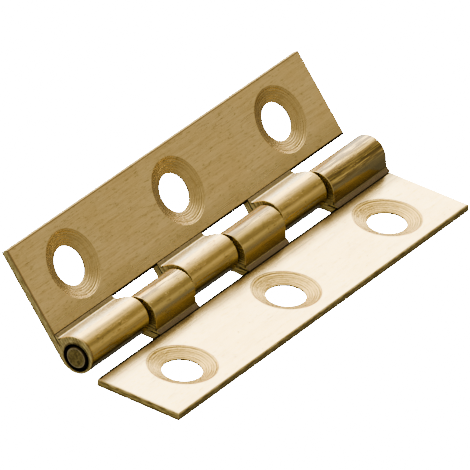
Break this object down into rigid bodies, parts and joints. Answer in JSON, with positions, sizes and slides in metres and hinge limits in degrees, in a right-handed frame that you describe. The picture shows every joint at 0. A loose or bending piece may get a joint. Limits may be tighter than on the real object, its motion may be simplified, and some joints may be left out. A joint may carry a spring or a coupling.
{
  "type": "door hinge",
  "caption": "Small polished brass butt hinge for cabinet and light doors: two rolled sheet leaves with countersunk screw holes, interlocking knuckles and a plain pin.",
  "frame": {"origin": "centre of the fixed leaf's screw row, on the leaf's back face", "axes": "+X from the barrel to the fixed leaf's free edge, +Y along the pin, +Z out of the fixed leaf's inner face"},
  "size_m": [0.0218, 0.0506, 0.0105],
  "materials": {
    "leaf_brass": "brushed and lightly polished",
    "pin_metal": "dull drawn rod"
  },
  "bodies": {
    "fixed": {"fixed_leaf": "leaf_brass", "hinge_pin": "pin_metal"},
    "moving": {"moving_leaf": "leaf_brass"}
  },
  "joints": [
    {"name": "leaf_swing", "type": "hinge", "parent": "fixed", "child": "moving", "pos_m": [-0.0075, 0, 0.00203], "axis": [0, -1, 0], "range_deg": [-130.4, 149.6]}
  ]
}
